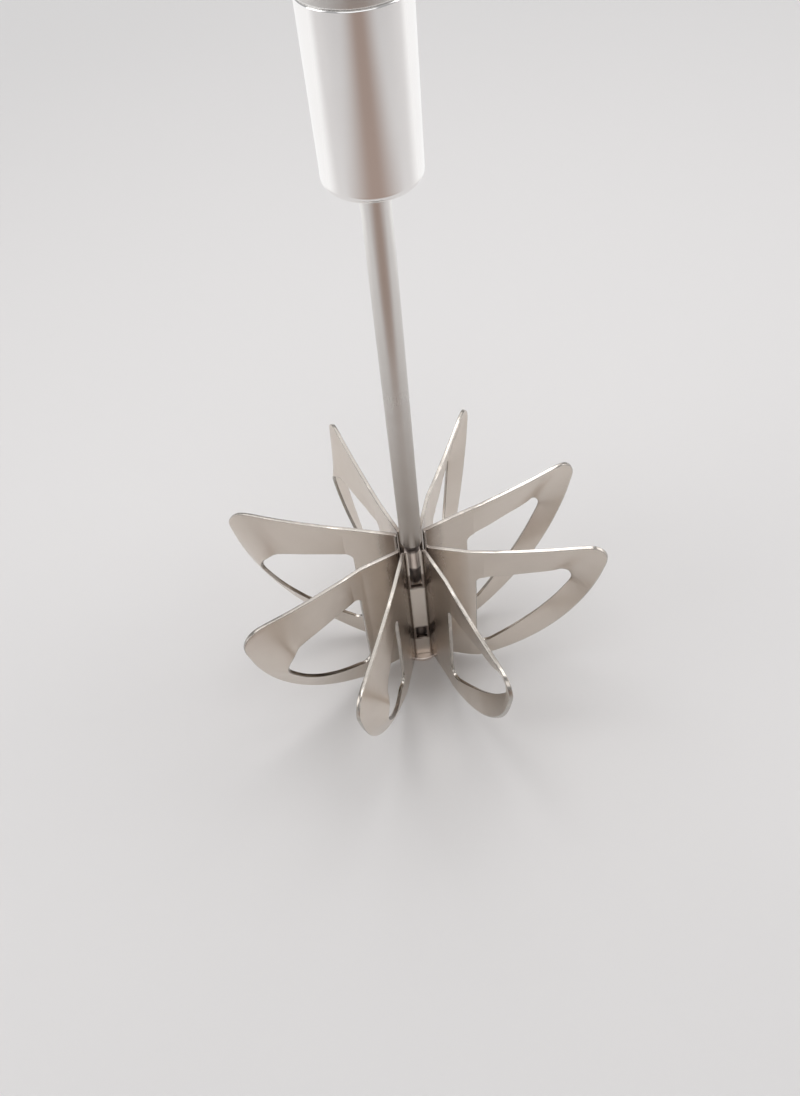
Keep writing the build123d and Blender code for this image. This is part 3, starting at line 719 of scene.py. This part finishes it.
SOFT_RUBBER = MouldedFinish(
    "soft_rubber", (0.018, 0.018, 0.018), (0.03, 0.03, 0.03), (0.04, 0.04, 0.04), roughness=0.75,
    specular=0.3,
)
INNER_PLASTIC = MouldedFinish(
    "inner_plastic", (0.72, 0.72, 0.68), (0.6, 0.59, 0.55), (0.8, 0.8, 0.77), roughness=0.5,
    grain_scale=3600.0,
)
ROTOR_IRON = LayeredFinish(
    "rotor_iron", (0.3, 0.28, 0.26), (0.16, 0.14, 0.13),
    band_height=0.7 * MM, band_share=0.3, metallic=1.0, roughness=0.45,
)
CELL_JACKET = LayeredFinish(
    "cell_jacket", (0.035, 0.1, 0.075), (0.02, 0.06, 0.046),
    band_height=22.0 * MM, band_share=0.12, metallic=0.0, roughness=0.3,
)

FINISHES = (
    BLADE_STEEL, HUB_STEEL, SHAFT_STEEL, COLLAR_CHROME, GRIP_STEEL, SCREW_STEEL, MOTOR_STEEL,
    CONTACT_BRASS, BUSH_BRONZE, CAP_PLASTIC, BUTTON_PLASTIC, SOFT_RUBBER, INNER_PLASTIC,
    ROTOR_IRON, CELL_JACKET,
)


@dataclass(frozen=True)
class Rounding:
    """How the sharp edges of one kind of piece are broken."""

    width: float
    segments: int = 2
    merge: float = 0.002 * MM
    flat: float = math.radians(0.4)
    sharp: float = math.radians(35.0)
    clamp: bool = True
    broad_sides: int = 0

    def apply(self, source: bpy.types.Mesh, target: bpy.types.Mesh) -> None:
        """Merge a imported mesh, join its flat faces and round its sharp edges.

        Args:
            source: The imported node's mesh, left as it is.
            target: The empty mesh to fill.
        """
        form = bmesh.new()
        form.from_mesh(source)
        bmesh.ops.remove_doubles(form, verts=form.verts, dist=self.merge)
        bmesh.ops.dissolve_limit(form, angle_limit=self.flat, verts=form.verts, edges=form.edges)
        bmesh.ops.recalc_face_normals(form, faces=form.faces)
        mark = form.faces.layers.float.new(EDGE_ATTRIBUTE)
        if self.broad_sides:
            for part in self.smooth_parts(form)[self.broad_sides:]:
                for face in part:
                    face[mark] = 1.0
        made = bmesh.ops.bevel(
            form,
            geom=[line for line in form.edges if not self.is_smooth(line)],
            offset=self.width,
            offset_type="OFFSET",
            affect="EDGES",
            segments=self.segments,
            profile=0.5,
            material=-1,
            clamp_overlap=self.clamp,
        )
        for face in made["faces"]:
            face[mark] = 1.0
        for face in form.faces:
            face.smooth = True
        form.to_mesh(target)
        form.free()
        target.set_sharp_from_angle(angle=self.sharp)

    def is_smooth(self, line: bmesh.types.BMEdge) -> bool:
        """Return whether the surface runs on over an edge."""
        return not line.is_manifold or line.calc_face_angle() <= self.sharp

    def smooth_parts(self, form: bmesh.types.BMesh) -> list[list[bmesh.types.BMFace]]:
        """Split a form's faces at its sharp edges.

        Args:
            form: The form to split.

        Returns:
            The parts, the broadest first.
        """
        seen: set[bmesh.types.BMFace] = set()
        parts: list[list[bmesh.types.BMFace]] = []
        for start in form.faces:
            if start in seen:
                continue
            seen.add(start)
            part = [start]
            for face in part:
                around = [near for line in face.edges if self.is_smooth(line) for near in line.link_faces]
                fresh = set(around) - seen
                seen |= fresh
                part.extend(fresh)
            parts.append(part)
        return sorted(parts, key=lambda part: -sum(face.calc_area() for face in part))


SHEET_EDGES = Rounding(0.12 * MM, merge=0.09 * MM, flat=math.radians(0.02), clamp=False, broad_sides=2)
TURNED_EDGES = Rounding(0.15 * MM)
SHELL_EDGES = Rounding(0.25 * MM, segments=3)
CAP_EDGES = Rounding(0.3 * MM, segments=3)
BOOT_EDGES = Rounding(0.1 * MM)


@dataclass
class Workshop:
    """What every sub-assembly needs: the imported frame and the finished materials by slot."""

    frame: dict
    materials: dict[str, bpy.types.Material]

    def slot_of(self, node: str) -> str:
        """Look up the material slot that the record gives a node.

        Args:
            node: Name of the node.

        Returns:
            Name of the slot.
        """
        for part in self.frame["record"]["subparts"]:
            if part["node"] == node:
                return part["material_slot"]
        raise KeyError(node)

    def paint(self, node: str) -> None:
        """Give a carried-over node its finish.

        Args:
            node: Name of the node.
        """
        slot = self.slot_of(node)
        mesh_object = self.frame["nodes"][node]
        for place in mesh_object.material_slots:
            place.link = "OBJECT"
            place.material = self.materials[slot]
        LOG.info("finish %s on %s", slot, node)

    def rounded_copy(self, node: str, body: str, rounding: Rounding) -> bpy.types.Object:
        """Stand a copy with rounded, rubbed edges in a node's place.

        Args:
            node: Name of the node.
            body: Name of the body that the node rides on.
            rounding: How its edges are broken.

        Returns:
            The finished piece.
        """
        mesh = bpy.data.meshes.new(f"{node}_finished")
        rounding.apply(self.frame["nodes"][node].data, mesh)
        piece = bpy.data.objects.new(f"{node}_finished", mesh)
        bpy.context.scene.collection.objects.link(piece)
        even = piece.modifiers.new("even_normals", "WEIGHTED_NORMAL")
        even.mode = "FACE_AREA"
        even.weight = NORMAL_WEIGHT
        even.keep_sharp = True
        slot = self.slot_of(node)
        mesh.materials.append(self.materials[slot])
        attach(piece, body)
        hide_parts(node)
        LOG.info("piece %s: %d faces", piece.name, len(mesh.polygons))
        return piece


@dataclass
class WhiskHead:
    """The four bent sheets of blades round their core, and the foot disc."""

    workshop: Workshop
    pairs: int = 4

    def build(self) -> None:
        """Round and dress the blades, the core and the foot."""
        for number in range(1, self.pairs + 1):
            self.workshop.rounded_copy(f"blade_pair_{number}", "whisk", SHEET_EDGES)
        for node in ("hub_core", "hub_foot"):
            self.workshop.rounded_copy(node, "whisk", TURNED_EDGES)


@dataclass
class Drive:
    """The shaft with its coupling, and the motor's turning pieces."""

    workshop: Workshop
    hidden: tuple[str, ...] = (
        "shaft_coupling", "coupling_screws", "motor_shaft", "motor_armature", "commutator",
    )

    def build(self) -> None:
        """Round the shaft's edges and finish the pieces that turn inside."""
        self.workshop.rounded_copy("whisk_shaft", "whisk", TURNED_EDGES)
        for node in self.hidden:
            self.workshop.paint(node)


@dataclass
class Handle:
    """The grip tube, its nose and collar, and the fixed works inside."""

    workshop: Workshop
    shells: tuple[str, ...] = ("grip_shell", "nose_cone", "nose_collar")
    hidden: tuple[str, ...] = (
        "bush_carrier", "shaft_bush", "shaft_seal", "motor_mount", "motor_can", "motor_screws",
        "motor_magnets", "motor_end_bell", "motor_terminals", "cell_carrier", "cell_lower",
        "cell_upper", "contact_plate", "feed_strip", "ring_contact",
    )

    def build(self) -> None:
        """Round the shells' edges and finish the works."""
        for node in self.shells:
            self.workshop.rounded_copy(node, "handle", SHELL_EDGES)
        for node in self.hidden:
            self.workshop.paint(node)


@dataclass
class EndCap:
    """The pull-off cap with its sealing ring, boot and push button."""

    workshop: Workshop

    def build(self) -> None:
        """Round the cap's and the button's edges and finish the rest."""
        self.workshop.rounded_copy("end_cap", "cap", CAP_EDGES)
        self.workshop.rounded_copy("power_button", "button", CAP_EDGES)
        for node in ("cap_ring", "bridge_contact"):
            self.workshop.paint(node)
        self.boot()

    def boot(self) -> None:
        """Stand the rubber boot in the cap, with a mesh of its own."""
        piece = self.workshop.rounded_copy("button_boot", "cap", BOOT_EDGES)
        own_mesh(piece)


@dataclass(frozen=True)
class Softbox:
    """A rectangular light that faces the whisk head, with its place from the head's centre."""

    name: str
    offset: Triple
    size: Span
    radiance: float

    def hang(self, head: Vector) -> None:
        """Hang the light.

        Args:
            head: The head's centre.
        """
        width, height = self.size
        light = bpy.data.lights.new(self.name, "AREA")
        light.shape = "RECTANGLE"
        light.size = width
        light.size_y = height
        light.energy = self.radiance * math.pi * width * height
        lamp = bpy.data.objects.new(self.name, light)
        lamp.location = head + Vector(self.offset)
        lamp.rotation_euler = (-Vector(self.offset)).to_track_quat("-Z", "Y").to_euler()
        lamp.visible_camera = False
        bpy.context.scene.collection.objects.link(lamp)


SOFTBOXES = (
    Softbox("overhead", (0.0, 0.12, 0.62), (0.5, 0.4), 3.0),
    Softbox("window", (0.05, 0.5, 0.6), (0.9, 0.6), 0.95),
    Softbox("left_side", (-0.75, -0.05, 0.34), (0.5, 0.7), 1.5),
    Softbox("right_side", (0.75, 0.05, 0.34), (0.5, 0.7), 1.6),
    Softbox("front_fill", (0.0, -0.6, 0.4), (0.9, 0.4), 0.9),
)


@dataclass
class Studio:
    """Pale floor, soft light and the camera."""

    head: Vector
    floor_height: float
    floor_colour: Colour = (0.74, 0.725, 0.72)
    floor_half: float = 4.0
    floor_roughness: float = 0.7
    mottle_scale: float = 3.0
    mottle_tone: float = 0.97
    backdrop_colour: Colour = (0.74, 0.735, 0.735)
    mirrored_colour: Colour = (0.42, 0.42, 0.425)
    light_colour: Colour = (0.24, 0.24, 0.245)
    far_floor: Span = (0.22, 0.75)
    bright_behind: Span = (-0.04, 0.1)
    bright_range: Span = (0.13, 0.2)
    shade_colour: Colour = (0.39, 0.296, 0.252)
    shade_reach: Span = (0.06, 0.13)
    shade_side: Span = (0.02, 0.24)
    photo_size: tuple[int, int] = (800, 1096)
    focal_pixels: float = 900.0
    head_pixel: Span = (410.5, 535.0)
    distance: float = 183.2 * MM
    azimuth: float = math.radians(-3.8)
    elevation: float = math.radians(51.5)
    roll: float = math.radians(6.0)
    sensor_width: float = 36.0
    clip_start: float = 0.01

    def build(self) -> None:
        """Lay the floor and set the light and the camera."""
        self.floor()
        self.lights()
        self.world()
        self.camera()
        bpy.context.scene.view_settings.view_transform = "Standard"

    def floor(self) -> None:
        """Lay the plain pale floor under the foot disc."""
        mesh = bpy.data.meshes.new("floor")
        form = bmesh.new()
        bmesh.ops.create_grid(form, x_segments=1, y_segments=1, size=self.floor_half)
        bmesh.ops.translate(form, verts=form.verts, vec=(0.0, 0.0, self.floor_height))
        form.to_mesh(mesh)
        form.free()
        ground = bpy.data.objects.new("floor", mesh)
        bpy.context.scene.collection.objects.link(ground)
        mesh.materials.append(self.floor_paper())

    def floor_paper(self) -> bpy.types.Material:
        """Lay the floor's pale paper, with painted reflections: polished metal sees a painted brown shade on
        it in front and a painted white glow behind.

        Returns:
            The material.
        """
        material = bpy.data.materials.new("floor_paper")
        material.use_nodes = True
        sheet = NodeSheet(material.node_tree)
        place = sheet.add("ShaderNodeTexCoord").outputs["Object"]
        noise = sheet.add("ShaderNodeTexNoise", {"Vector": place, "Scale": self.mottle_scale, "Detail": 2.0})
        darker = tuple(self.mottle_tone * part for part in self.floor_colour)
        tone = sheet.blend(noise.outputs[0], opaque(darker), opaque(self.floor_colour))
        along = sheet.add("ShaderNodeSeparateXYZ", {0: place}).outputs
        # painted reflection: glossy rays see a brown shade on the floor in front
        front = sheet.span(along["Y"], -self.shade_reach[1], -self.shade_reach[0], 1.0, 0.0)
        aside = sheet.span(sheet.math("ABSOLUTE", along["X"]), *self.shade_side, 1.0, 0.0)
        path = sheet.add("ShaderNodeLightPath").outputs
        seen = sheet.math("MULTIPLY", path["Is Glossy Ray"], sheet.math("MULTIPLY", front, aside))
        shaded = sheet.blend(seen, tone, opaque(self.shade_colour))
        surface = {"Base Color": shaded, "Roughness": self.floor_roughness}
        paper = sheet.add("ShaderNodeBsdfPrincipled", surface)
        from_axis = sheet.axis_distance(place)
        distant = sheet.span(from_axis, *self.far_floor, 0.0, 1.0)
        faded = sheet.math("MULTIPLY", distant, path["Is Camera Ray"])
        pale = sheet.add("ShaderNodeEmission", {"Color": opaque(self.backdrop_colour), "Strength": 1.0})
        ground = sheet.add("ShaderNodeMixShader", {0: faded, 1: paper.outputs[0], 2: pale.outputs[0]})
        # painted reflection: glossy rays see a white glow on the floor behind, away from the axis
        behind = sheet.span(along["Y"], *self.bright_behind, 0.0, 1.0)
        outer = sheet.math("MULTIPLY", behind, sheet.span(from_axis, *self.bright_range, 0.0, 1.0))
        bright = sheet.math("MULTIPLY", outer, path["Is Glossy Ray"])
        white = sheet.add("ShaderNodeEmission", {"Color": opaque(WHITE), "Strength": 1.0})
        ground = sheet.add("ShaderNodeMixShader", {0: bright, 1: ground.outputs[0], 2: white.outputs[0]})
        sheet.add("ShaderNodeOutputMaterial", {"Surface": ground.outputs[0]})
        return material

    def lights(self) -> None:
        """Hang the softboxes: overhead, behind, one at each side and a weak one in front."""
        for box in SOFTBOXES:
            box.hang(self.head)

    def world(self) -> None:
        """Set the even surroundings: weak as light, mid grey in polished metal, pale to the camera."""
        world = bpy.data.worlds.new("studio")
        world.use_nodes = True
        sheet = NodeSheet(world.node_tree)
        path = sheet.add("ShaderNodeLightPath").outputs
        seen = sheet.blend(path["Is Glossy Ray"], opaque(self.light_colour), opaque(self.mirrored_colour))
        seen = sheet.blend(path["Is Camera Ray"], seen, opaque(self.backdrop_colour))
        back = sheet.add("ShaderNodeBackground", {"Color": seen, "Strength": 1.0})
        sheet.add("ShaderNodeOutputWorld", {"Surface": back.outputs[0]})
        bpy.context.scene.world = world

    def camera(self) -> None:
        """Place the camera where the photograph was taken, close above the rim of the whisk."""
        away = Vector((math.sin(self.azimuth), -math.cos(self.azimuth), 0.0))
        back = away * math.cos(self.elevation) + Vector((0.0, 0.0, math.sin(self.elevation)))
        level = Vector((math.cos(self.azimuth), math.sin(self.azimuth), 0.0))
        upright = back.cross(level)
        right = level * math.cos(self.roll) - upright * math.sin(self.roll)
        up = level * math.sin(self.roll) + upright * math.cos(self.roll)
        place = self.head + back * self.distance
        turned = Matrix((right, up, back)).transposed().to_4x4()
        data = bpy.data.cameras.new("photo_camera")
        width, height = self.photo_size
        data.sensor_width = self.sensor_width
        data.lens = data.sensor_width * self.focal_pixels / height
        data.shift_x = (width / 2 - self.head_pixel[0]) / height
        data.shift_y = (self.head_pixel[1] - height / 2) / height
        data.clip_start = self.clip_start
        data.dof.use_dof = False
        camera = bpy.data.objects.new("photo_camera", data)
        camera.matrix_world = Matrix.Translation(place) @ turned
        bpy.context.scene.collection.objects.link(camera)
        bpy.context.scene.camera = camera


def main() -> None:
    """Load the frame, dress each sub-assembly and set the studio round the whisk head."""
    logging.basicConfig(level=logging.INFO, format="%(message)s")
    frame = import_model()
    effects = SurfaceEffects()
    materials = {finish.name: finish.build(effects) for finish in FINISHES}
    workshop = Workshop(frame, materials)
    for assembly in (WhiskHead(workshop), Drive(workshop), Handle(workshop), EndCap(workshop)):
        assembly.build()
    blade_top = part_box("blade_pair_1")[1][2]
    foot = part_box("hub_foot")[0][2]
    Studio(Vector((0.0, 0.0, blade_top)), foot - FLOOR_GAP).build()


if __name__ == "__main__":
    main()
